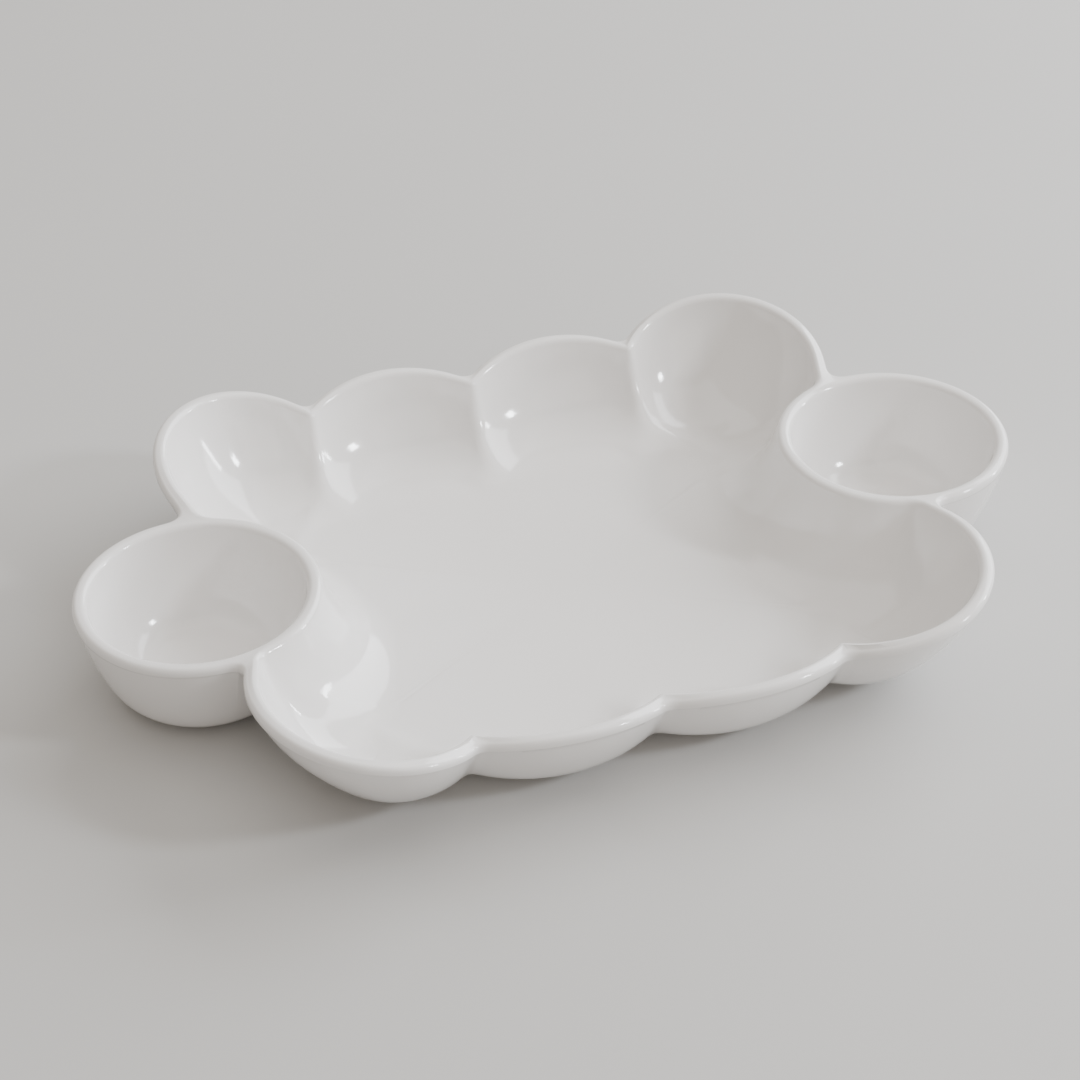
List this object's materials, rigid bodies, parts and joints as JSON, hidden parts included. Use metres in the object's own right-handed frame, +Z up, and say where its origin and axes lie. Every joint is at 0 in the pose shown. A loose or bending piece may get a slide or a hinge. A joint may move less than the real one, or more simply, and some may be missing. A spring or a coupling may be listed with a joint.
{
  "type": "chip and dip server",
  "caption": "Shallow cloud-shaped serving tray with a lobed chip well and a round dip cup moulded into each end, standing on soft pads.",
  "frame": {"origin": "middle of the footprint, on the surface the server stands on", "axes": "+X along the length from the left dip cup to the right one, +Y to the back, +Z up"},
  "size_m": [0.43, 0.28, 0.0553],
  "materials": {
    "shell_gloss_white": "glossy moulded melamine, slightly warm white",
    "foot_silicone": "matt translucent grey silicone"
  },
  "bodies": {
    "root": {"server_shell": "shell_gloss_white", "foot_front_left": "foot_silicone", "foot_front_right": "foot_silicone", "foot_back_left": "foot_silicone", "foot_back_right": "foot_silicone"}
  },
  "joints": []
}
